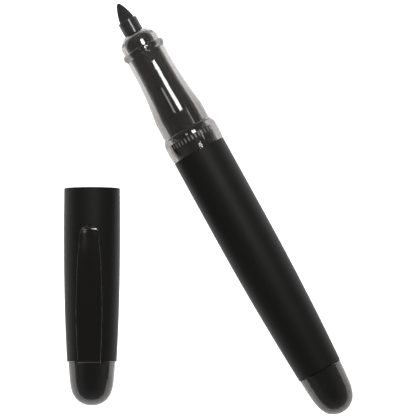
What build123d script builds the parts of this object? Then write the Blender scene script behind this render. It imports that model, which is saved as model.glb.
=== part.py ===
from build123d import *

import os
from math import cos, radians, sin, sqrt

# A felt tip marker with a push-on cap. The marker lies uncapped on a table with its nib
# towards +Y, and its cap lies beside it, clip upwards. Z = 0 is the table and the origin
# is the centre of the whole layout seen from above. All sizes are in millimetres.
#
# The marker is drawn about its own axis with height 0 at the barrel's front edge and the
# nib upwards. The cap is drawn about its own axis with height 0 at its mouth and its
# dome upwards. Both are laid down at the end.

# ---------------------------------------------------------------- fits
SLIDE_GAP = 0.05  # radial gap of a piece that slides in another
SEAT_GAP = 0.02  # radial gap of a piece that is pressed in and stays
END_GAP = 0.1  # gap between faces that meet end to end
SLEEVE_WALL = 0.6  # metal wall of the barrel and of the cap
EDGE = 0.12  # broken edge on the ends of the metal sleeves

# ---------------------------------------------------------------- barrel
BARREL_LENGTH = 65.0
BARREL_R = 7.22
BARREL_END_R = 6.0
BARREL_STRAIGHT = 22.0  # from the front edge to where the taper begins

LINER_LENGTH = 20.0
LINER_RECESS = 0.5  # how far the liner sits behind the barrel's front edge

# ---------------------------------------------------------------- domes at both ends
DOME_WALL = 1.5
DOME_TAPER = 0.13  # share of the radius lost in a straight line over the length
DOME_EDGE = 0.2  # broken edge where a dome meets its sleeve
DOME_POWER = 5  # how late the dome turns in to its tip
DOME_STEP = 0.08  # how far a dome stands inside the sleeve in front of it
TAIL_DOME_LENGTH = 12.4
CAP_DOME_LENGTH = 11.35
TAIL_SPIGOT_LENGTH = 3.0

# ---------------------------------------------------------------- grip section
COLLAR_R = 7.52
COLLAR_LENGTH = 6.4
COLLAR_EDGE_R = 7.2  # collar's radius where it meets the barrel
COLLAR_SHOULDER_R = 7.1  # where the collar begins to round over
CAP_SEAT_R = 6.66
CAP_SEAT_LENGTH = 4.8
WAIST_SHARE = 0.81  # waist's radius as a share of the cap seat's
WAIST_START = 26.0  # height where the flare has come down to the waist
RING_START = 28.75
RING_STAND = 0.47  # how far the ring stands out from the waist
RING_WIDTH = 1.95
NOSE_DROP = 0.27  # how much slimmer the nose is than the waist
NOSE_SHOULDER = 32.3  # height where the nose begins to round over
NOSE_FACE_R = 2.8
NOSE_FACE = 35.0
NOSE_WALL = 0.8

# ---------------------------------------------------------------- nib holder
HOLDER_TIP = 38.8
HOLDER_TIP_R = 2.6
GRIP_WALL_REAR = 1.81  # clear wall round the core at the cap seat
GRIP_WALL_FRONT = 1.13  # clear wall round the core at the waist
HOLDER_NOSE_DROP = 0.45  # how much slimmer the core is inside the nose
HOLDER_WALL = 1.1  # wall round the air chamber
AIR_CHAMBER_LENGTH = 15.0
HOLDER_WEB = 2.0  # wall between the air chamber and the reservoir
FLANGE_R = 5.9  # the holder's wide flange, seen through the collar
FLANGE_SHOULDER = 4.4
FLANGE_END = 6.6
SPIGOT_R = 6.0  # the part that pushes into the barrel
SPIGOT_LENGTH = 9.0

# ---------------------------------------------------------------- nib
NIB_R = 2.05
NIB_TIP = 43.8
NIB_HEAD_START = 36.4
NIB_STEM_R = 1.5
NIB_STEM_END = 4.5

# ---------------------------------------------------------------- reservoir
RESERVOIR_FRONT = 10.0
RESERVOIR_LENGTH = 58.0
WICK_DROP = 0.75  # how much slimmer the wick is than the core that holds it
WRAP_WALL = 0.18
WRAP_SETBACK = 0.5  # bare wick at each end of the wrap
STEM_SOCKET_LENGTH = 6.5
BREATHER_R = 0.55
BREATHER_BORE_R = 0.3
PLUG_LENGTH = 2.0
PLUG_VENT_R = 0.6

# ---------------------------------------------------------------- tail stop
STOP_RIB = 1.0  # thickness of the two crossed ribs
STOP_PLUG_LENGTH = 2.0

# ---------------------------------------------------------------- o-ring
O_RING_SECTION_R = 0.3
O_RING_PLACE = 5.5  # behind the barrel's front edge
O_RING_GROOVE_WIDTH = 0.8

# ---------------------------------------------------------------- cap
CAP_LENGTH = 45.0
CAP_MOUTH_R = 7.25
CAP_BELLY_R = 7.3
CAP_BELLY = 15.0
CAP_SHOULDER_R = 6.98
CAP_SHOULDER = 33.0
CAP_END_R = 6.42
CAP_DOME_SETBACK = 0.3  # how far the dome stands inside the sleeve's end
CAP_BORE_LENGTH = 20.0
INNER_SEAT_LENGTH = 7.0  # length that the inner cap is pressed into
INNER_SEAT_STEP = 0.2  # how much narrower that length is than the bore in front of it

INNER_CAP_MOUTH_LENGTH = 5.5
INNER_CAP_WALL = 0.7
INNER_CAP_NOSE_GAP = 0.13
INNER_CAP_NOSE_LENGTH = 4.0
INNER_CAP_NIB_R = 3.2
INNER_CAP_SETBACK = 0.2  # gap between the inner cap and the bush
INNER_CAP_END_WALL = 1.4
INNER_CAP_LEAD = 0.35

SEAL_WIDTH = 1.2

BUSH_LENGTH = 4.9  # the part of the bush inside the sleeve
BUSH_HOLLOW_R = 3.0
BUSH_FLOOR = 2.5

# ---------------------------------------------------------------- clip
CLIP_TIP = 9.9  # from the cap's mouth to the clip's free end
CLIP_TIP_WIDTH = 4.8
CLIP_MID_WIDTH = 6.75
CLIP_MID = 30.0
CLIP_ROOT_WIDTH = 5.5
CLIP_THICKNESS = 0.85
CLIP_OVERHANG = 0.45  # how far the bend at the root stands past the sleeve's end
CLIP_TAB_THICKNESS = 0.75
CLIP_TAB_DEPTH = 1.6  # how far the tab reaches below the sleeve's surface
CLIP_STAND = 1.0  # gap under the middle of the arm, where cloth goes
CLIP_BUMP_GAP = 0.15  # gap under the bump at the free end
CLIP_BUMP_LENGTH = 4.4
CLIP_SWING_GAP = 0.25  # room beside the tab for the clip to spring open

# ---------------------------------------------------------------- layout
CAP_MOUTH_PLACE = (-29.0, 4.83)  # cap's mouth from the barrel's front edge, seen from above
CAP_TURN = 28.8  # degrees between the marker's axis and the cap's
CAP_ROLL = 3.0  # degrees that the clip leans away from straight up
LYING_HEIGHT = COLLAR_R  # both axes lie at the height of the thickest radius

# Sizes that follow from the ones above.
BARREL_BORE_R = BARREL_R - SLEEVE_WALL
BARREL_END_BORE_R = BARREL_END_R - SLEEVE_WALL
SEAT_END = COLLAR_LENGTH + CAP_SEAT_LENGTH
RING_END = RING_START + RING_WIDTH
WAIST_R = WAIST_SHARE * CAP_SEAT_R
RING_R = WAIST_R + RING_STAND
NOSE_R = WAIST_R - NOSE_DROP
HOLDER_REAR_R = CAP_SEAT_R - GRIP_WALL_REAR
HOLDER_FRONT_R = WAIST_R - GRIP_WALL_FRONT
HOLDER_NOSE_R = HOLDER_FRONT_R - HOLDER_NOSE_DROP
HOLDER_ROUND = 0.92 * (HOLDER_NOSE_R - HOLDER_TIP_R)
AIR_CHAMBER_R = HOLDER_FRONT_R - HOLDER_WALL
WICK_R = HOLDER_REAR_R - WICK_DROP
BREATHER_OFFSET = WICK_R - BREATHER_R - 5 * SEAT_GAP
WRAP_R = WICK_R + SEAT_GAP + WRAP_WALL
RESERVOIR_END = RESERVOIR_FRONT - RESERVOIR_LENGTH
HOLDER_BORE_R = WRAP_R + 2 * SLIDE_GAP
HOLDER_BORE_END = RESERVOIR_FRONT + 1.0
TAIL_DOME_R = BARREL_END_R - DOME_STEP
CAP_BORE_R = CAP_SEAT_R + SLIDE_GAP
CAP_END_BORE_R = CAP_END_R - SLEEVE_WALL
INNER_SEAT_R = CAP_BORE_R - INNER_SEAT_STEP
INNER_CAP_END = CAP_LENGTH - BUSH_LENGTH - INNER_CAP_SETBACK
INNER_CAP_NOSE_R = NOSE_R + INNER_CAP_NOSE_GAP
INNER_CAP_BODY_R = INNER_CAP_NOSE_R + INNER_CAP_WALL
INNER_CAP_MOUTH_R = RING_R + SLIDE_GAP
CAP_DOME_R = CAP_END_R - CAP_DOME_SETBACK
CAP_DOME_START = CAP_LENGTH + SLIDE_GAP
CLIP_TAB_FRONT = CAP_LENGTH - CLIP_TAB_THICKNESS
CLIP_TAB_BOTTOM = CAP_END_R - CLIP_TAB_DEPTH


# ---------------------------------------------------------------- helpers
def path(*points):
    """Straight lines through points given as (radius, height)."""
    return Polyline(*points).edges()


def arc(start, end, tangent):
    return TangentArc(start, end, tangent=tangent).edges()


def bow(start, middle, end):
    return ThreePointArc(start, middle, end).edges()


def turned(*runs):
    """A solid turned about Z from an outline of joined runs, drawn as (radius, height)."""
    edges = [edge for run in runs for edge in run]
    return revolve(Plane.XZ * make_face(edges), Axis.Z)


def tube(outer, inner, start, end):
    return turned(path((inner, start), (outer, start), (outer, end), (inner, end), (inner, start)))


def rod(radius, start, end):
    return Pos(0, 0, start) * Cylinder(
        radius, end - start, align=(Align.CENTER, Align.CENTER, Align.MIN)
    )


def dome_curve(radius, length, start):
    """A bullet-shaped outline from its widest edge, at height start, to its tip on the axis."""
    shares = (0, 0.3, 0.55, 0.75, 0.88, 0.96)
    side = [
        (radius * (1 - DOME_TAPER * u) * sqrt(1 - u**DOME_POWER), start + u * length)
        for u in shares
    ]
    tip = (0, start + length)
    return Spline(*side, tip, tangents=[(-DOME_TAPER * radius, length), (-1, 0)]).edges()


def inner_sleeve_r(height):
    """Radius inside the cap's sleeve behind the seat of the inner cap."""
    start = CAP_BORE_LENGTH + INNER_SEAT_LENGTH
    share = (height - start) / (CAP_LENGTH - start)
    return INNER_SEAT_R + share * (CAP_END_BORE_R - INNER_SEAT_R)


# ---------------------------------------------------------------- barrel pieces
def barrel_sleeve():
    rear, bend = -BARREL_LENGTH, -BARREL_STRAIGHT
    return turned(
        path(
            (BARREL_BORE_R, bend),
            (BARREL_BORE_R, -EDGE),
            (BARREL_BORE_R + EDGE, 0),
            (BARREL_R - EDGE, 0),
            (BARREL_R, -EDGE),
            (BARREL_R, bend),
        ),
        arc((BARREL_R, bend), (BARREL_END_R, rear), (0, -1)),
        path((BARREL_END_R, rear), (BARREL_END_BORE_R, rear)),
        arc((BARREL_BORE_R, bend), (BARREL_END_BORE_R, rear), (0, -1)),
    )


def barrel_liner():
    """The plastic lining of the barrel's mouth, which the grip section pushes into."""
    mouth, step, rear = -LINER_RECESS, -SPIGOT_LENGTH - LINER_RECESS, -LINER_LENGTH
    outer = BARREL_BORE_R - SEAT_GAP
    wide, narrow = SPIGOT_R + SLIDE_GAP, WRAP_R + 3 * SLIDE_GAP
    return turned(
        path(
            (wide, mouth),
            (outer, mouth),
            (outer, rear),
            (narrow, rear),
            (narrow, step),
            (wide, step),
            (wide, mouth),
        )
    )


def dome_shell(radius, length, spigot_r=None, spigot_length=0):
    """A hollow dome standing on height 0, with a spigot below it if one is given."""
    inner = radius - DOME_WALL
    shell = turned(
        dome_curve(radius, length - DOME_EDGE, DOME_EDGE),
        path((0, length), (0, length - DOME_WALL)),
        dome_curve(inner, length - DOME_WALL, 0),
        path((inner, 0), (radius - DOME_EDGE, 0), (radius, DOME_EDGE)),
    )
    if spigot_r:
        shell += tube(spigot_r, inner, -spigot_length, 0)
    return shell


def dome_core(radius, length):
    """The dark plug that fills a dome, standing on height 0."""
    core_r = radius - DOME_WALL - SLIDE_GAP
    core_length = length - DOME_WALL - SLIDE_GAP
    return turned(
        dome_curve(core_r, core_length, 0),
        path((0, core_length), (0, 0), (core_r, 0)),
    )


def at_tail(shape):
    """Turns a dome drawn upwards so that it points backwards from the barrel's rear edge."""
    return Pos(0, 0, -BARREL_LENGTH) * Rot(180, 0, 0) * shape


def tail_dome():
    spigot = BARREL_END_BORE_R - SEAT_GAP
    return at_tail(dome_shell(TAIL_DOME_R, TAIL_DOME_LENGTH, spigot, TAIL_SPIGOT_LENGTH))


def tail_stop():
    """The plug in the tail dome, with crossed ribs that keep the reservoir forward."""
    core_r = TAIL_DOME_R - DOME_WALL - SLIDE_GAP
    plug_end = -BARREL_LENGTH + TAIL_SPIGOT_LENGTH + STOP_PLUG_LENGTH
    rib_end = RESERVOIR_END - PLUG_LENGTH - END_GAP
    rib_length = rib_end - plug_end
    ribs = Box(2 * core_r, STOP_RIB, rib_length) + Box(STOP_RIB, 2 * core_r, rib_length)
    return (
        at_tail(dome_core(TAIL_DOME_R, TAIL_DOME_LENGTH))
        + rod(core_r, -BARREL_LENGTH, plug_end)
        + Pos(0, 0, plug_end + rib_length / 2) * ribs
    )


# ---------------------------------------------------------------- grip section pieces
def grip_section():
    """The clear smoke-grey grip, with its collar, cap seat, flare, ring and nose."""
    front_bore = HOLDER_FRONT_R + SLIDE_GAP
    rear_bore = HOLDER_REAR_R + SLIDE_GAP
    flange_bore = FLANGE_R + SLIDE_GAP
    nose_bore = HOLDER_NOSE_R + SLIDE_GAP
    tip_bore = HOLDER_TIP_R + SLIDE_GAP
    inside_end = NOSE_FACE - NOSE_WALL
    return turned(
        path((flange_bore, 0), (COLLAR_EDGE_R, 0)),
        bow(
            (COLLAR_EDGE_R, 0),
            (0.4 * COLLAR_EDGE_R + 0.6 * COLLAR_R, 0.16 * COLLAR_LENGTH),
            (COLLAR_R, 0.42 * COLLAR_LENGTH),
        ),
        path((COLLAR_R, 0.42 * COLLAR_LENGTH), (COLLAR_R - 0.02, 0.66 * COLLAR_LENGTH)),
        bow(
            (COLLAR_R - 0.02, 0.66 * COLLAR_LENGTH),
            (0.3 * COLLAR_SHOULDER_R + 0.7 * COLLAR_R, 0.79 * COLLAR_LENGTH),
            (COLLAR_SHOULDER_R, 0.91 * COLLAR_LENGTH),
        ),
        bow(
            (COLLAR_SHOULDER_R, 0.91 * COLLAR_LENGTH),
            (CAP_SEAT_R + 0.27, 0.965 * COLLAR_LENGTH),
            (CAP_SEAT_R, COLLAR_LENGTH),
        ),
        path((CAP_SEAT_R, COLLAR_LENGTH), (CAP_SEAT_R, SEAT_END)),
        arc((WAIST_R, WAIST_START), (CAP_SEAT_R, SEAT_END), (0, -1)),
        path((WAIST_R, WAIST_START), (WAIST_R, RING_START)),
        bow(
            (WAIST_R, RING_START),
            (RING_R - 0.17 * RING_STAND, RING_START + 0.34 * RING_WIDTH),
            (RING_R, RING_START + 0.6 * RING_WIDTH),
        ),
        bow(
            (RING_R, RING_START + 0.6 * RING_WIDTH),
            (RING_R - 0.17 * RING_STAND, RING_START + 0.82 * RING_WIDTH),
            (RING_R - 0.7 * RING_STAND, RING_END),
        ),
        path((RING_R - 0.7 * RING_STAND, RING_END), (NOSE_R, RING_END), (NOSE_R, NOSE_SHOULDER)),
        bow(
            (NOSE_R, NOSE_SHOULDER),
            (0.55 * NOSE_FACE_R + 0.45 * NOSE_R, NOSE_FACE - 0.68),
            (NOSE_FACE_R, NOSE_FACE),
        ),
        path(
            (NOSE_FACE_R, NOSE_FACE),
            (tip_bore, NOSE_FACE),
            (tip_bore, inside_end),
            (nose_bore - HOLDER_ROUND, inside_end),
        ),
        bow(
            (nose_bore - HOLDER_ROUND, inside_end),
            (nose_bore - 0.3 * HOLDER_ROUND, inside_end - 0.3 * HOLDER_ROUND),
            (nose_bore, inside_end - HOLDER_ROUND),
        ),
        path(
            (nose_bore, inside_end - HOLDER_ROUND),
            (nose_bore, RING_START),
            (front_bore, RING_START),
            (front_bore, WAIST_START),
        ),
        arc((front_bore, WAIST_START), (rear_bore, SEAT_END), (0, -1)),
        path(
            (rear_bore, SEAT_END),
            (rear_bore, FLANGE_END),
            (flange_bore, FLANGE_SHOULDER),
            (flange_bore, 0),
        ),
    )


def nib_holder():
    """The black core of the grip: nib in front, reservoir and barrel spigot behind."""
    groove_r = SPIGOT_R - 2 * O_RING_SECTION_R - SLIDE_GAP
    groove_front = -O_RING_PLACE + O_RING_GROOVE_WIDTH / 2
    groove_rear = groove_front - O_RING_GROOVE_WIDTH
    shoulder = NOSE_FACE - NOSE_WALL - SLIDE_GAP
    ring = RING_START - SLIDE_GAP
    body = turned(
        path(
            (0, -SPIGOT_LENGTH),
            (SPIGOT_R, -SPIGOT_LENGTH),
            (SPIGOT_R, groove_rear),
            (groove_r, groove_rear),
            (groove_r, groove_front),
            (SPIGOT_R, groove_front),
            (SPIGOT_R, -SEAT_GAP),
            (FLANGE_R, -SEAT_GAP),
            (FLANGE_R, FLANGE_SHOULDER),
            (HOLDER_REAR_R, FLANGE_END),
            (HOLDER_REAR_R, SEAT_END),
        ),
        arc((HOLDER_FRONT_R, WAIST_START), (HOLDER_REAR_R, SEAT_END), (0, -1)),
        path(
            (HOLDER_FRONT_R, WAIST_START),
            (HOLDER_FRONT_R, ring),
            (HOLDER_NOSE_R, ring),
            (HOLDER_NOSE_R, shoulder - HOLDER_ROUND),
        ),
        bow(
            (HOLDER_NOSE_R, shoulder - HOLDER_ROUND),
            (HOLDER_NOSE_R - 0.3 * HOLDER_ROUND, shoulder - 0.3 * HOLDER_ROUND),
            (HOLDER_NOSE_R - HOLDER_ROUND, shoulder),
        ),
        path(
            (HOLDER_NOSE_R - HOLDER_ROUND, shoulder),
            (HOLDER_TIP_R, shoulder),
            (HOLDER_TIP_R, HOLDER_TIP - EDGE),
            (HOLDER_TIP_R - EDGE, HOLDER_TIP),
            (0, HOLDER_TIP),
            (0, -SPIGOT_LENGTH),
        ),
    )
    chamber_start = HOLDER_BORE_END + HOLDER_WEB
    body -= rod(HOLDER_BORE_R, -SPIGOT_LENGTH, HOLDER_BORE_END)
    body -= rod(AIR_CHAMBER_R, chamber_start, chamber_start + AIR_CHAMBER_LENGTH)
    body -= rod(NIB_STEM_R + SLIDE_GAP, HOLDER_BORE_END, NIB_HEAD_START - END_GAP)
    body -= rod(NIB_R + SEAT_GAP, NIB_HEAD_START - END_GAP, HOLDER_TIP)
    return body


def fibre_nib():
    """A bullet head on a long stem that reaches back into the reservoir."""
    length = NIB_TIP - HOLDER_TIP
    return turned(
        path(
            (0, NIB_TIP),
            (0, NIB_STEM_END),
            (NIB_STEM_R - 2 * EDGE, NIB_STEM_END),
            (NIB_STEM_R, NIB_STEM_END + 4 * EDGE),
            (NIB_STEM_R, NIB_HEAD_START),
            (NIB_R, NIB_HEAD_START),
            (NIB_R, HOLDER_TIP),
        ),
        Spline(
            (NIB_R, HOLDER_TIP),
            (0.72 * NIB_R, HOLDER_TIP + 0.5 * length),
            (0.24 * NIB_R, HOLDER_TIP + 0.94 * length),
            (0, NIB_TIP),
            tangents=[(-0.06, 1), (-1, 0)],
        ).edges(),
    )


def section_o_ring():
    centre_r = SPIGOT_R - O_RING_SECTION_R
    return Pos(0, 0, -O_RING_PLACE) * Torus(centre_r, O_RING_SECTION_R - SEAT_GAP)


# ---------------------------------------------------------------- reservoir pieces
def reservoir_wick():
    wick = rod(WICK_R, RESERVOIR_END, RESERVOIR_FRONT)
    wick -= rod(NIB_STEM_R + SLIDE_GAP, RESERVOIR_FRONT - STEM_SOCKET_LENGTH, RESERVOIR_FRONT)
    wick -= Pos(0, BREATHER_OFFSET, 0) * rod(
        BREATHER_R + SEAT_GAP, RESERVOIR_END, RESERVOIR_FRONT
    )
    return wick


def reservoir_wrap():
    start, end = RESERVOIR_END + WRAP_SETBACK, RESERVOIR_FRONT - WRAP_SETBACK
    return tube(WRAP_R, WICK_R + SEAT_GAP, start, end)


def breather_tube():
    return Pos(0, BREATHER_OFFSET, 0) * tube(
        BREATHER_R, BREATHER_BORE_R, RESERVOIR_END, RESERVOIR_FRONT
    )


def reservoir_plug():
    return tube(WRAP_R, PLUG_VENT_R, RESERVOIR_END - PLUG_LENGTH, RESERVOIR_END)


# ---------------------------------------------------------------- cap pieces
def clip_slot():
    """The block cut away round the clip's tab, with room for the clip to spring open."""
    width = CLIP_ROOT_WIDTH + 10 * SLIDE_GAP
    front = CLIP_TAB_FRONT - CLIP_SWING_GAP
    return Pos(0, CLIP_TAB_BOTTOM - CLIP_SWING_GAP, front) * Box(
        width,
        CAP_BELLY_R,
        CAP_LENGTH - front,
        align=(Align.CENTER, Align.MIN, Align.MIN),
    )


def cap_sleeve():
    seat_end = CAP_BORE_LENGTH + INNER_SEAT_LENGTH
    sleeve = turned(
        path(
            (CAP_END_R, CAP_LENGTH),
            (CAP_END_BORE_R, CAP_LENGTH),
            (INNER_SEAT_R, seat_end),
            (INNER_SEAT_R, CAP_BORE_LENGTH),
            (CAP_BORE_R, CAP_BORE_LENGTH),
            (CAP_BORE_R, EDGE),
            (CAP_BORE_R + EDGE, 0),
            (CAP_MOUTH_R - EDGE, 0),
            (CAP_MOUTH_R, EDGE),
        ),
        Spline(
            (CAP_MOUTH_R, EDGE),
            (CAP_BELLY_R, CAP_BELLY),
            (CAP_SHOULDER_R, CAP_SHOULDER),
            (CAP_END_R, CAP_LENGTH),
        ).edges(),
    )
    return sleeve - clip_slot()


def inner_cap():
    """The sealing liner: its mouth closes on the ring and its end shelters the nib."""
    mouth = CAP_BORE_LENGTH
    step = mouth + INNER_CAP_MOUTH_LENGTH
    nib_start = step + INNER_CAP_NOSE_LENGTH
    floor = INNER_CAP_END - INNER_CAP_END_WALL
    outer = INNER_SEAT_R - SEAT_GAP
    return turned(
        path(
            (INNER_CAP_MOUTH_R + INNER_CAP_LEAD, mouth + SEAT_GAP),
            (outer, mouth + SEAT_GAP),
            (outer, step),
            (INNER_CAP_BODY_R, step),
            (INNER_CAP_BODY_R, INNER_CAP_END),
            (0, INNER_CAP_END),
            (0, floor),
            (INNER_CAP_NIB_R, floor),
            (INNER_CAP_NIB_R, nib_start),
            (INNER_CAP_NOSE_R, nib_start),
            (INNER_CAP_NOSE_R, step),
            (INNER_CAP_MOUTH_R, step),
            (INNER_CAP_MOUTH_R, mouth + INNER_CAP_LEAD),
            (INNER_CAP_MOUTH_R + INNER_CAP_LEAD, mouth + SEAT_GAP),
        )
    )


def nose_seal():
    """The soft washer in the inner cap that the ring of the grip closes on."""
    end = CAP_BORE_LENGTH + INNER_CAP_MOUTH_LENGTH - SEAT_GAP
    seal = tube(INNER_CAP_MOUTH_R - SEAT_GAP, INNER_CAP_NOSE_R, end - SEAL_WIDTH, end)
    return fillet(seal.edges().group_by(Axis.Z)[0], SEAL_WIDTH / 5)


def clip_bush():
    """The plug in the cap's end: it grips the clip's tab and fills the dome."""
    start = CAP_LENGTH - BUSH_LENGTH
    wide, narrow = inner_sleeve_r(start) - SEAT_GAP, CAP_END_BORE_R - SEAT_GAP
    core_r = CAP_DOME_R - DOME_WALL - SLIDE_GAP
    bush = turned(
        path((0, start), (wide, start), (narrow, CAP_LENGTH), (core_r, CAP_LENGTH)),
        path((core_r, CAP_LENGTH), (core_r, CAP_DOME_START)),
        path((core_r, CAP_DOME_START), (0, CAP_DOME_START), (0, start)),
    )
    bush += Pos(0, 0, CAP_DOME_START) * dome_core(CAP_DOME_R, CAP_DOME_LENGTH)
    bush -= rod(BUSH_HOLLOW_R, start, CAP_DOME_START + BUSH_FLOOR)
    return bush - clip_slot()


def cap_dome():
    return Pos(0, 0, CAP_DOME_START) * dome_shell(CAP_DOME_R, CAP_DOME_LENGTH)


def clip():
    """A bowed spring arm with a bump under its free end and a tab bent in at its root."""
    mid_under = CAP_BELLY_R + 0.7 * CLIP_STAND
    mid_top = mid_under + CLIP_THICKNESS
    root_under = CAP_END_R + 0.9 * CLIP_STAND
    bend = CLIP_THICKNESS
    root_end, lip = CAP_LENGTH + CLIP_OVERHANG, CAP_END_R + SLIDE_GAP
    bump_end = CLIP_TIP + CLIP_BUMP_LENGTH
    side = make_face(
        path(
            (CLIP_TAB_FRONT, root_under),
            (CLIP_TAB_FRONT, CLIP_TAB_BOTTOM),
            (CAP_LENGTH, CLIP_TAB_BOTTOM),
            (CAP_LENGTH, lip),
            (root_end, lip),
            (root_end, root_under),
        )
        + bow(
            (root_end, root_under),
            (root_end - 0.3 * bend, root_under + 0.7 * bend),
            (root_end - bend, root_under + bend),
        )
        + bow(
            (root_end - bend, root_under + bend),
            (CLIP_MID, mid_top),
            (CLIP_TIP + 1.4, mid_top - 0.1),
        )
        + bow(
            (CLIP_TIP + 1.4, mid_top - 0.1),
            (CLIP_TIP + 0.4, mid_under + 0.6 * CLIP_THICKNESS),
            (CLIP_TIP, mid_under),
        )
        + bow(
            (CLIP_TIP, mid_under),
            (CLIP_TIP + CLIP_BUMP_LENGTH / 2, CAP_BELLY_R + CLIP_BUMP_GAP),
            (bump_end, mid_under),
        )
        + bow((bump_end, mid_under), (CLIP_MID, mid_under), (CLIP_TAB_FRONT, root_under))
    )
    half_tip, half_mid, half_root = CLIP_TIP_WIDTH / 2, CLIP_MID_WIDTH / 2, CLIP_ROOT_WIDTH / 2
    tip_side, past_root = CLIP_TIP + half_tip, root_end + CLIP_THICKNESS
    plan = make_face(
        bow((half_root, past_root), (half_mid, CLIP_MID), (half_tip, tip_side))
        + bow((half_tip, tip_side), (0, CLIP_TIP), (-half_tip, tip_side))
        + bow((-half_tip, tip_side), (-half_mid, CLIP_MID), (-half_root, past_root))
        + path((-half_root, past_root), (half_root, past_root))
    )
    side_plane = Plane(origin=(0, 0, 0), x_dir=(0, 0, 1), z_dir=(-1, 0, 0))
    bar = extrude(side_plane * side, amount=CLIP_MID_WIDTH, both=True)
    cut = extrude(Plane.XZ * plan, amount=2 * CAP_BELLY_R, both=True)
    return bar & cut


# ---------------------------------------------------------------- laying the pieces down
MARKER_PIECES = {
    "barrel_sleeve": barrel_sleeve,
    "barrel_liner": barrel_liner,
    "tail_dome": tail_dome,
    "tail_stop": tail_stop,
    "grip_section": grip_section,
    "nib_holder": nib_holder,
    "fibre_nib": fibre_nib,
    "section_o_ring": section_o_ring,
    "reservoir_wick": reservoir_wick,
    "reservoir_wrap": reservoir_wrap,
    "breather_tube": breather_tube,
    "reservoir_plug": reservoir_plug,
}
CAP_PIECES = {
    "cap_sleeve": cap_sleeve,
    "inner_cap": inner_cap,
    "nose_seal": nose_seal,
    "clip_bush": clip_bush,
    "cap_dome": cap_dome,
    "clip": clip,
}

turn = radians(CAP_TURN)
marker_plane = Plane(origin=(0, 0, LYING_HEIGHT), x_dir=(-1, 0, 0), z_dir=(0, 1, 0))
cap_plane = Plane(
    origin=(*CAP_MOUTH_PLACE, LYING_HEIGHT),
    x_dir=(cos(turn), -sin(turn), 0),
    z_dir=(-sin(turn), -cos(turn), 0),
)
laid = {name: marker_plane * make() for name, make in MARKER_PIECES.items()}
laid |= {
    name: cap_plane * Rot(0, 0, CAP_ROLL) * make() for name, make in CAP_PIECES.items()
}

extent = Compound(children=[Compound(piece.solids()) for piece in laid.values()]).bounding_box()
to_origin = Pos(-extent.center().X, -extent.center().Y, -extent.min.Z)

os.makedirs("parts", exist_ok=True)
for name, piece in laid.items():
    export_step(to_origin * piece, f"parts/{name}.step")
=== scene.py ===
import math

import bpy
from mathutils import Matrix, Vector


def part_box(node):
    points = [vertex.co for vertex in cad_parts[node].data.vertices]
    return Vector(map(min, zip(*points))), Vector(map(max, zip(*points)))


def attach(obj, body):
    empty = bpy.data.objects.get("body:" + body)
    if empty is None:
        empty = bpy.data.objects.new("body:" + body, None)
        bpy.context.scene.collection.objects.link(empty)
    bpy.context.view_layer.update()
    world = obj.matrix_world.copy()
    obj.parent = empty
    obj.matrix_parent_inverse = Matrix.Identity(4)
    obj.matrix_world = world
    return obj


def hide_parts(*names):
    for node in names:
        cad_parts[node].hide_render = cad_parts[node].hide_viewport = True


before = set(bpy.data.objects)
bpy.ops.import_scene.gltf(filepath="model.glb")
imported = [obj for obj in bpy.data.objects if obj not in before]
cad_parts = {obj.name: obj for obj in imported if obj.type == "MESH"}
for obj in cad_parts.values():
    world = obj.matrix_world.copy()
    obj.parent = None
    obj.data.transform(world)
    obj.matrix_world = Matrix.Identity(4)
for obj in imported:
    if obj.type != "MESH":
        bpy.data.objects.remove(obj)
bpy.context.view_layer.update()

bl_info = {
    "name": "Felt tip marker",
    "version": (1, 0, 0),
    "blender": (4, 5, 0),
    "location": "3D View > Sidebar > Marker",
    "description": "Gives a capped marker its finishes, trim and studio",
    "category": "Object",
}

MM = 0.001


def middle(node):
    low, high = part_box(node)
    return (low + high) / 2


# Places that the rest is set out from.
AXIS = Vector((middle("fibre_nib").x, 0, middle("fibre_nib").z))
BARREL_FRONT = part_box("barrel_sleeve")[1].y

# Stretches along the marker, from the barrel's front.
NOSE_POLISH = (34.2 * MM, 34.8 * MM)  # where the core turns glossy, just behind the nose's face
CORE_MATTE = (5.0 * MM, 6.5 * MM)  # where the core turns matte, at the front of its flange
BARS_PLACE = 3.6 * MM  # the middle of the collar's bars

# Small sizes of the trim and the depths of the finishes' relief.
BAR_HEIGHT = 0.05 * MM
BAR_ROUNDING = 0.015 * MM
MERGE_DISTANCE = 0.002 * MM
BUMP_DEPTH = 0.02 * MM
STRAND_DEPTH = 0.06 * MM

# The studio. A softbox is given by its centre, across and along the marker, and its size.
LAMP_HEIGHT = 0.40
SOFTBOXES = {
    "key": ((0.137, 0.167), (0.13, 0.20)),
    "side": ((0.355, -0.005), (0.07, 0.12)),
    "fill": ((-0.10, 0.20), (0.07, 0.16)),
}
TABLE_SIZE = 6
TABLE_DROP = 0.2 * MM  # how far the table lies under the marker
TENT_WALL, TENT_ROOF = 0.55, 0.9  # upward share of a direction where wall ends and roof starts


# ---------------------------------------------------------------- shader tools
def new_group(name, inputs, outputs):
    """An empty shader group with float inputs {name: default} and outputs {name: type}."""
    tree = bpy.data.node_groups.new(name, "ShaderNodeTree")
    for label, default in inputs.items():
        socket = tree.interface.new_socket(label, in_out="INPUT", socket_type="NodeSocketFloat")
        socket.default_value = default
    for label, kind in outputs.items():
        tree.interface.new_socket(label, in_out="OUTPUT", socket_type=kind)
    return tree, tree.nodes.new("NodeGroupInput"), tree.nodes.new("NodeGroupOutput")


def noise(tree, vector, scale, detail=4.0, roughness=0.55):
    node = tree.nodes.new("ShaderNodeTexNoise")
    node.inputs["Detail"].default_value = detail
    node.inputs["Roughness"].default_value = roughness
    tree.links.new(vector, node.inputs["Vector"])
    if isinstance(scale, (int, float)):
        node.inputs["Scale"].default_value = scale
    else:
        tree.links.new(scale, node.inputs["Scale"])
    return node.outputs["Fac"]


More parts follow.
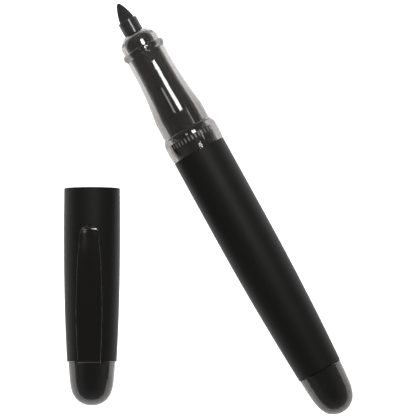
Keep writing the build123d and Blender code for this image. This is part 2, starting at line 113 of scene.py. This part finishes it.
def remap(tree, value, low, high, to_low, to_high):
    """Stretches low..high of value to to_low..to_high; each end is a number or a socket."""
    node = tree.nodes.new("ShaderNodeMapRange")
    tree.links.new(value, node.inputs["Value"])
    ends = {"From Min": low, "From Max": high, "To Min": to_low, "To Max": to_high}
    for label, end in ends.items():
        if isinstance(end, (int, float)):
            node.inputs[label].default_value = end
        else:
            tree.links.new(end, node.inputs[label])
    return node.outputs["Result"]


def place(tree):
    return tree.nodes.new("ShaderNodeTexCoord").outputs["Object"]


def make_smudge_group():
    """Roughness that drifts between two values, as handled surfaces have, with fine specks."""
    tree, given, out = new_group(
        "handled surface",
        {"Clean": 0.3, "Handled": 0.4, "Patch Scale": 90.0},
        {"Roughness": "NodeSocketFloat", "Mask": "NodeSocketFloat"},
    )
    where = place(tree)
    patches = noise(tree, where, given.outputs["Patch Scale"], 5.0, 0.6)
    mask = remap(tree, patches, 0.38, 0.66, 0.0, 1.0)
    rough = remap(tree, mask, 0.0, 1.0, given.outputs["Clean"], given.outputs["Handled"])
    tree.links.new(rough, out.inputs["Roughness"])
    tree.links.new(mask, out.inputs["Mask"])
    return tree


def make_grain_group():
    """A fine surface grain: its height for a bump and its value for a colour."""
    tree, given, out = new_group(
        "fine grain",
        {"Grain Scale": 4000.0, "Speck Scale": 1500.0},
        {"Height": "NodeSocketFloat", "Value": "NodeSocketFloat"},
    )
    where = place(tree)
    grain = noise(tree, where, given.outputs["Grain Scale"], 2.0, 0.5)
    speck = noise(tree, where, given.outputs["Speck Scale"], 6.0, 0.7)
    mix = tree.nodes.new("ShaderNodeMath")
    mix.operation = "MULTIPLY"
    tree.links.new(grain, mix.inputs[0])
    tree.links.new(speck, mix.inputs[1])
    tree.links.new(mix.outputs["Value"], out.inputs["Height"])
    tree.links.new(speck, out.inputs["Value"])
    return tree


def fresh_material(name):
    material = bpy.data.materials.new(name)
    material.use_nodes = True
    tree = material.node_tree
    return material, tree, tree.nodes["Principled BSDF"]


def add_group(tree, group, values):
    node = tree.nodes.new("ShaderNodeGroup")
    node.node_tree = group
    for label, value in values.items():
        node.inputs[label].default_value = value
    return node


def two_tone(tree, shader, mask, dark, light):
    """Base Color drifts between two tones by mask."""
    mix = tree.nodes.new("ShaderNodeMix")
    mix.data_type = "RGBA"
    mix.inputs["A"].default_value = (*dark, 1)
    mix.inputs["B"].default_value = (*light, 1)
    tree.links.new(mask, mix.inputs["Factor"])
    tree.links.new(mix.outputs["Result"], shader.inputs["Base Color"])


def bump(tree, shader, height, strength, distance):
    node = tree.nodes.new("ShaderNodeBump")
    node.inputs["Strength"].default_value = strength
    node.inputs["Distance"].default_value = distance
    tree.links.new(height, node.inputs["Height"])
    tree.links.new(node.outputs["Normal"], shader.inputs["Normal"])


def surface(name, dark, light, clean, handled, grain=4000.0, relief=0.1, **constants):
    """A finish with two close tones, handled roughness and a fine grain."""
    material, tree, shader = fresh_material(name)
    smudge = add_group(tree, GROUPS["smudge"], {"Clean": clean, "Handled": handled})
    fine = add_group(tree, GROUPS["grain"], {"Grain Scale": grain})
    tree.links.new(smudge.outputs["Roughness"], shader.inputs["Roughness"])
    two_tone(tree, shader, fine.outputs["Value"], dark, light)
    bump(tree, shader, fine.outputs["Height"], relief, BUMP_DEPTH)
    for label, value in constants.items():
        shader.inputs[label.replace("_", " ")].default_value = value
    return material


def along_marker(tree, stretch, rear, front):
    """A value that goes from rear to front over a stretch in front of the barrel."""
    split = tree.nodes.new("ShaderNodeSeparateXYZ")
    tree.links.new(place(tree), split.inputs["Vector"])
    start, end = (BARREL_FRONT + distance for distance in stretch)
    return remap(tree, split.outputs["Y"], start, end, rear, front)


def polish_front(material, stretch, coat):
    """A glossy skin on the part of a piece in front of a stretch."""
    tree = material.node_tree
    mask = along_marker(tree, stretch, 0.0, coat)
    tree.links.new(mask, tree.nodes["Principled BSDF"].inputs["Coat Weight"])


def smooth_rear(material, stretch, smooth):
    """A smoother finish on the part of a piece behind a stretch."""
    tree = material.node_tree
    mask = along_marker(tree, stretch, 0.0, 1.0)
    shader = tree.nodes["Principled BSDF"]
    rough = shader.inputs["Roughness"].links[0].from_socket
    drift = remap(tree, mask, 0.0, 1.0, smooth, rough)
    tree.links.new(drift, shader.inputs["Roughness"])


def clear_plastic(name, body, tint, density, clean, handled):
    """Clear moulded plastic that is tinted all through."""
    material, tree, shader = fresh_material(name)
    shader.inputs["Transmission Weight"].default_value = 1.0
    shader.inputs["IOR"].default_value = 1.49
    smudge = add_group(tree, GROUPS["smudge"], {"Clean": clean, "Handled": handled})
    tree.links.new(smudge.outputs["Roughness"], shader.inputs["Roughness"])
    two_tone(tree, shader, smudge.outputs["Mask"], body, [0.95 * c for c in body])
    absorb = tree.nodes.new("ShaderNodeVolumeAbsorption")
    absorb.inputs["Color"].default_value = (*tint, 1)
    absorb.inputs["Density"].default_value = density
    output = tree.nodes["Material Output"]
    tree.links.new(absorb.outputs["Volume"], output.inputs["Volume"])
    return material


def dress(material, *nodes):
    for name in nodes:
        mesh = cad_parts[name].data
        mesh.materials.clear()
        mesh.materials.append(material)


def deselect():
    bpy.ops.object.select_all(action="DESELECT")


def pick(thing):
    deselect()
    thing.select_set(True)
    bpy.context.view_layer.objects.active = thing


def settle(thing):
    """Puts the finished object's own origin at the frame's, with its place in its mesh."""
    bpy.context.view_layer.update()
    thing.data.transform(thing.matrix_world)
    thing.matrix_world = Matrix.Identity(4)


GROUPS = {}


# ---------------------------------------------------------------- settings
class FinishSettings(bpy.types.PropertyGroup):
    enamel: bpy.props.FloatVectorProperty(
        name="Enamel",
        description="Colour of the matte metal sleeves",
        subtype="COLOR",
        default=(0.0042, 0.0040, 0.0037),
    )
    core: bpy.props.FloatVectorProperty(
        name="Core",
        description="Colour of the dark plastic inside the clear pieces",
        subtype="COLOR",
        default=(0.008, 0.0075, 0.0070),
    )
    fibre: bpy.props.FloatVectorProperty(
        name="Fibre",
        description="Colour of the inked nib and reservoir",
        subtype="COLOR",
        default=(0.008, 0.0078, 0.0075),
    )
    smoke: bpy.props.FloatVectorProperty(
        name="Smoke",
        description="Tint of the clear plastic",
        subtype="COLOR",
        default=(0.36, 0.34, 0.33),
    )
    grip_body: bpy.props.FloatVectorProperty(
        name="Grip body",
        description="What the grip's surface lets through",
        subtype="COLOR",
        default=(0.76, 0.75, 0.74),
    )
    dome_body: bpy.props.FloatVectorProperty(
        name="Dome body",
        description="What the domes' surface lets through",
        subtype="COLOR",
        default=(0.56, 0.54, 0.53),
    )
    grip_density: bpy.props.FloatProperty(
        name="Grip density", description="How strongly the grip is tinted", default=520.0
    )
    dome_density: bpy.props.FloatProperty(
        name="Dome density", description="How strongly the end domes are tinted", default=1150.0
    )


class TrimSettings(bpy.types.PropertyGroup):
    # Clip edge tone: the pale colour of a painted highlight along the clip's rounded edge, a
    # bright rim standing in for reflected light.
    painted_glint_tone: bpy.props.FloatVectorProperty(
        name="Clip edge tone",
        description="Colour of the clip's worn bright edge",
        subtype="COLOR",
        default=(0.72, 0.70, 0.68),
    )
    edge_width: bpy.props.FloatProperty(
        name="Clip edge",
        description="Width of the rounded edge round the clip",
        subtype="DISTANCE",
        default=0.0002,
    )
    bars: bpy.props.IntProperty(
        name="Bars", description="Number of plain bars round the collar", default=40
    )
    bar_radius: bpy.props.FloatProperty(
        name="Bar radius",
        description="Radius of the ring of bars",
        subtype="DISTANCE",
        default=0.005915,
    )
    bar_length: bpy.props.FloatProperty(
        name="Bar length",
        description="Length of a bar along the marker",
        subtype="DISTANCE",
        default=0.0012,
    )
    bar_width: bpy.props.FloatProperty(
        name="Bar width",
        description="Width of a bar round the collar",
        subtype="DISTANCE",
        default=0.00032,
    )


class StageSettings(bpy.types.PropertyGroup):
    camera_place: bpy.props.FloatVectorProperty(
        name="Camera", description="Where the camera stands", subtype="TRANSLATION",
        default=(AXIS.x - 0.0254, BARREL_FRONT - 0.0509, 0.920),
    )
    aim: bpy.props.FloatVectorProperty(
        name="Aim", description="What the camera looks at", subtype="TRANSLATION",
        default=(AXIS.x - 0.0052, BARREL_FRONT - 0.0141, AXIS.z),
    )
    turn: bpy.props.FloatProperty(
        name="Turn", description="How far the marker leans to the left in the view",
        subtype="ANGLE", default=math.radians(28.8),
    )
    field: bpy.props.FloatProperty(
        name="Field", description="Width of the view at the marker", subtype="DISTANCE",
        default=0.108,
    )
    key: bpy.props.FloatProperty(
        name="Key", description="Brightness of the main softbox", default=26.0,
    )
    side: bpy.props.FloatProperty(
        name="Side", description="Brightness of the narrow softbox on the right", default=4.0
    )
    fill: bpy.props.FloatProperty(
        name="Fill", description="Brightness of the dim softbox on the left", default=5.0
    )
    horizon: bpy.props.FloatProperty(
        name="Horizon", description="Brightness of the tent's walls", default=0.42
    )
    zenith: bpy.props.FloatProperty(
        name="Zenith", description="Brightness of the tent's roof", default=0.22
    )
    table: bpy.props.FloatProperty(
        name="Table", description="How strongly the pale table glows", default=0.7
    )


# ---------------------------------------------------------------- pieces
class MARKER_OT_groups(bpy.types.Operator):
    """Builds the shader groups that the finishes share"""

    bl_idname = "marker.groups"
    bl_label = "Shader groups"

    def execute(self, context):
        GROUPS["smudge"] = make_smudge_group()
        GROUPS["grain"] = make_grain_group()
        return {"FINISHED"}


class MARKER_OT_sleeves(bpy.types.Operator):
    """Matte black enamel on the barrel and the cap"""

    bl_idname = "marker.sleeves"
    bl_label = "Sleeves"

    def execute(self, context):
        tone = context.scene.marker_finish.enamel
        enamel = surface(
            "matte_enamel",
            tone,
            [1.5 * c for c in tone],
            0.46,
            0.52,
            grain=3500.0,
            relief=0.25,
            Specular_IOR_Level=0.12,
        )
        dress(enamel, "barrel_sleeve", "cap_sleeve")
        return {"FINISHED"}


class MARKER_OT_clear_pieces(bpy.types.Operator):
    """Smoke-grey clear plastic for the grip and the two end domes"""

    bl_idname = "marker.clear_pieces"
    bl_label = "Clear pieces"

    def execute(self, context):
        finish = context.scene.marker_finish
        smoke = finish.smoke
        grip = clear_plastic(
            "smoke_grip", finish.grip_body, smoke, finish.grip_density, 0.01, 0.03
        )
        dome = clear_plastic(
            "smoke_dome", finish.dome_body, smoke, finish.dome_density, 0.03, 0.07
        )
        film = clear_plastic(
            "clear_film", (0.95, 0.96, 0.97), (0.9, 0.92, 0.93), 30.0, 0.12, 0.2
        )
        dress(grip, "grip_section")
        dress(dome, "tail_dome", "cap_dome")
        dress(film, "reservoir_wrap", "breather_tube")
        return {"FINISHED"}


class MARKER_OT_cores(bpy.types.Operator):
    """Dark plastic and rubber pieces inside the marker and its cap"""

    bl_idname = "marker.cores"
    bl_label = "Cores and seals"

    def execute(self, context):
        tone = context.scene.marker_finish.core
        lighter = [1.4 * c for c in tone]
        core = surface(
            "core_plastic",
            tone,
            lighter,
            0.55,
            0.65,
            grain=2500.0,
            relief=0.05,
            Specular_IOR_Level=0.2,
            Coat_Roughness=0.07,
        )
        polish_front(core, NOSE_POLISH, 0.4)
        smooth_rear(core, CORE_MATTE, 0.2)
        inner = surface("inner_plastic", tone, lighter, 0.38, 0.5, grain=2500.0, relief=0.15)
        rubber = surface(
            "seal_rubber", (0.012, 0.012, 0.012), (0.02, 0.02, 0.02), 0.6, 0.75, relief=0.3
        )
        dress(core, "nib_holder", "tail_stop", "clip_bush", "reservoir_plug")
        dress(inner, "barrel_liner", "inner_cap")
        dress(rubber, "section_o_ring", "nose_seal")
        return {"FINISHED"}


class MARKER_OT_fibres(bpy.types.Operator):
    """Inked fibre for the nib and the reservoir's wick"""

    bl_idname = "marker.fibres"
    bl_label = "Fibres"

    def execute(self, context):
        tone = context.scene.marker_finish.fibre
        for name, node in (("nib_fibre", "fibre_nib"), ("wick_fibre", "reservoir_wick")):
            material, tree, shader = fresh_material(name)
            where = tree.nodes.new("ShaderNodeMapping")
            where.inputs["Scale"].default_value = (1.0, 0.12, 1.0)
            tree.links.new(place(tree), where.inputs["Vector"])
            strands = noise(tree, where.outputs["Vector"], 9000.0, 3.0, 0.6)
            mask = remap(tree, strands, 0.35, 0.65, 0.0, 1.0)
            two_tone(tree, shader, mask, [0.7 * c for c in tone], [1.6 * c for c in tone])
            rough = remap(tree, strands, 0.3, 0.7, 0.7, 0.95)
            tree.links.new(rough, shader.inputs["Roughness"])
            shader.inputs["Sheen Weight"].default_value = 0.03
            shader.inputs["Sheen Roughness"].default_value = 0.5
            shader.inputs["Specular IOR Level"].default_value = 0.25
            bump(tree, shader, strands, 0.5, STRAND_DEPTH)
            dress(material, node)
        return {"FINISHED"}


class MARKER_OT_clip(bpy.types.Operator):
    """The clip in dark polished plating, with a painted highlight on its rounded edges"""

    bl_idname = "marker.clip"
    bl_label = "Clip"

    def execute(self, context):
        trim = context.scene.marker_trim
        plating = surface(
            "dark_plating",
            (0.036, 0.034, 0.033),
            (0.055, 0.053, 0.052),
            0.10,
            0.17,
            grain=2500.0,
            relief=0.03,
            Metallic=1.0,
        )
        # A pale metal finish for the bevel: a painted highlight round the clip's edge, in place
        # of the light the edge would reflect.
        painted_glint = surface(
            "painted_glint_edge",
            trim.painted_glint_tone,
            [1.3 * c for c in trim.painted_glint_tone],
            0.16,
            0.25,
            grain=2500.0,
            relief=0.03,
            Metallic=1.0,
        )
        pick(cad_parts["clip"])
        bpy.ops.object.duplicate(linked=False)
        arm = context.view_layer.objects.active
        for key in list(arm.keys()):
            del arm[key]
        arm.parent = None
        arm.name = arm.data.name = "clip_arm"
        arm.data.materials.clear()
        arm.data.materials.append(plating)
        arm.data.materials.append(painted_glint)
        bpy.ops.object.mode_set(mode="EDIT")
        bpy.ops.mesh.select_all(action="SELECT")
        bpy.ops.mesh.remove_doubles(threshold=MERGE_DISTANCE)
        bpy.ops.mesh.dissolve_limited(angle_limit=math.radians(0.5))
        bpy.ops.object.mode_set(mode="OBJECT")
        edge = arm.modifiers.new("edge", "BEVEL")
        edge.width = trim.edge_width
        edge.segments = 2
        edge.limit_method = "ANGLE"
        edge.angle_limit = math.radians(35)
        # The bevel takes the second finish, the painted edge highlight.
        edge.material = 1
        bpy.ops.object.modifier_apply(modifier=edge.name)
        bpy.ops.object.shade_smooth_by_angle(angle=math.radians(40))
        settle(arm)
        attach(arm, "clip")
        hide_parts("clip")
        return {"FINISHED"}


class MARKER_OT_collar_bars(bpy.types.Operator):
    """Plain bars on the flange inside the clear collar"""

    bl_idname = "marker.collar_bars"
    bl_label = "Collar bars"

    def execute(self, context):
        trim = context.scene.marker_trim
        centre = Vector((AXIS.x, BARREL_FRONT + BARS_PLACE, AXIS.z))
        top = centre + Vector((0, 0, trim.bar_radius))
        deselect()
        bpy.ops.mesh.primitive_cube_add(size=1, location=top)
        bar = context.view_layer.objects.active
        bar.scale = (trim.bar_width, trim.bar_length, BAR_HEIGHT)
        settle(bar)
        bpy.ops.object.mode_set(mode="EDIT")
        bpy.ops.mesh.select_all(action="SELECT")
        bpy.ops.mesh.bevel(offset=BAR_ROUNDING, segments=2, affect="EDGES")
        bpy.ops.object.mode_set(mode="OBJECT")
        bars = [bar]
        for _ in range(1, trim.bars):
            pick(bars[-1])
            bpy.ops.object.duplicate(linked=False)
            bpy.ops.transform.rotate(
                value=math.tau / trim.bars,
                orient_axis="Y",
                orient_type="GLOBAL",
                center_override=centre,
            )
            bars.append(context.view_layer.objects.active)
        deselect()
        for each in bars:
            each.select_set(True)
        context.view_layer.objects.active = bar
        bpy.ops.object.join()
        settle(bar)
        bar.name = bar.data.name = "collar_bars"
        pale = surface(
            "bar_print", (0.16, 0.16, 0.16), (0.28, 0.28, 0.28), 0.3, 0.45, relief=0.1
        )
        bar.data.materials.clear()
        bar.data.materials.append(pale)
        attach(bar, "front_unit")
        return {"FINISHED"}


# ---------------------------------------------------------------- stage
def view_axes(stage):
    """The view's own right, up and backward directions."""
    back = (Vector(stage.camera_place) - Vector(stage.aim)).normalized()
    lean = Vector((math.sin(stage.turn), math.cos(stage.turn), 0))
    up = (lean - back * lean.dot(back)).normalized()
    return up.cross(back), up, back


def softbox(name, centre, size, glow):
    """A level softbox that shines down."""
    light = bpy.data.lights.new(name, "AREA")
    light.shape = "RECTANGLE"
    light.size, light.size_y = size
    light.energy = glow * math.pi * size[0] * size[1]
    light.use_shadow = False
    thing = bpy.data.objects.new(name, light)
    bpy.context.scene.collection.objects.link(thing)
    thing.location = centre


class MARKER_OT_stage(bpy.types.Operator):
    """A pale table, soft studio light and the camera"""

    bl_idname = "marker.stage"
    bl_label = "Stage"

    def execute(self, context):
        scene = context.scene
        stage = scene.marker_stage
        scene.view_settings.view_transform = "Standard"
        deselect()
        bpy.ops.mesh.primitive_plane_add(size=TABLE_SIZE, location=(0, 0, -TABLE_DROP))
        table = context.view_layer.objects.active
        table.name = "table"
        white, tree, shader = fresh_material("pale_table")
        mask = noise(tree, place(tree), 3.0)
        two_tone(tree, shader, mask, (0.93, 0.93, 0.93), (0.95, 0.95, 0.95))
        shader.inputs["Roughness"].default_value = 0.9
        shader.inputs["Emission Color"].default_value = (1, 1, 1, 1)
        shader.inputs["Emission Strength"].default_value = stage.table
        table.data.materials.append(white)

        world = bpy.data.worlds.new("studio")
        scene.world = world
        world.use_nodes = True
        tent = world.node_tree
        direction = tent.nodes.new("ShaderNodeTexCoord").outputs["Generated"]
        split = tent.nodes.new("ShaderNodeSeparateXYZ")
        tent.links.new(direction, split.inputs["Vector"])
        glow = remap(
            tent, split.outputs["Z"], TENT_WALL, TENT_ROOF, stage.horizon, stage.zenith
        )
        tent.links.new(glow, tent.nodes["Background"].inputs["Strength"])
        tent.nodes["Background"].inputs["Color"].default_value = (1.0, 0.99, 0.98, 1)

        right, up, back = view_axes(stage)
        aim = Vector(stage.aim)
        front = Vector((AXIS.x, BARREL_FRONT, AXIS.z))
        for name, (offset, size) in SOFTBOXES.items():
            centre = front + Vector((*offset, LAMP_HEIGHT))
            softbox(name, centre, size, getattr(stage, name))

        eye = bpy.data.cameras.new("camera")
        eye.sensor_width = 36.0
        distance = (Vector(stage.camera_place) - aim).length
        eye.lens = eye.sensor_width * distance / stage.field
        eye.clip_start = 0.01
        eye.clip_end = 20.0
        camera = bpy.data.objects.new("camera", eye)
        scene.collection.objects.link(camera)
        turned = Matrix((right, up, back)).transposed().to_4x4()
        turned.translation = Vector(stage.camera_place)
        camera.matrix_world = turned
        scene.camera = camera
        return {"FINISHED"}


class MARKER_PT_panel(bpy.types.Panel):
    """Lists the steps in the 3D view's sidebar"""

    bl_label = "Felt tip marker"
    bl_idname = "MARKER_PT_panel"
    bl_space_type = "VIEW_3D"
    bl_region_type = "UI"
    bl_category = "Marker"

    def draw(self, context):
        layout = self.layout
        for step in STEPS:
            layout.operator(step.bl_idname)
        for settings in ("marker_finish", "marker_trim", "marker_stage"):
            group = getattr(context.scene, settings)
            for label in group.__annotations__:
                layout.prop(group, label)


SETTINGS = {
    "marker_finish": FinishSettings,
    "marker_trim": TrimSettings,
    "marker_stage": StageSettings,
}
STEPS = (
    MARKER_OT_groups,
    MARKER_OT_sleeves,
    MARKER_OT_clear_pieces,
    MARKER_OT_cores,
    MARKER_OT_fibres,
    MARKER_OT_clip,
    MARKER_OT_collar_bars,
    MARKER_OT_stage,
)


def register():
    for name, group in SETTINGS.items():
        bpy.utils.register_class(group)
        setattr(bpy.types.Scene, name, bpy.props.PointerProperty(type=group))
    for step in (*STEPS, MARKER_PT_panel):
        bpy.utils.register_class(step)


def unregister():
    for step in (MARKER_PT_panel, *reversed(STEPS)):
        bpy.utils.unregister_class(step)
    for name, group in SETTINGS.items():
        delattr(bpy.types.Scene, name)
        bpy.utils.unregister_class(group)


def main():
    register()
    bpy.ops.marker.groups()
    bpy.ops.marker.sleeves()
    bpy.ops.marker.clear_pieces()
    bpy.ops.marker.cores()
    bpy.ops.marker.fibres()
    bpy.ops.marker.clip()
    bpy.ops.marker.collar_bars()
    bpy.ops.marker.stage()


if __name__ == "__main__":
    main()
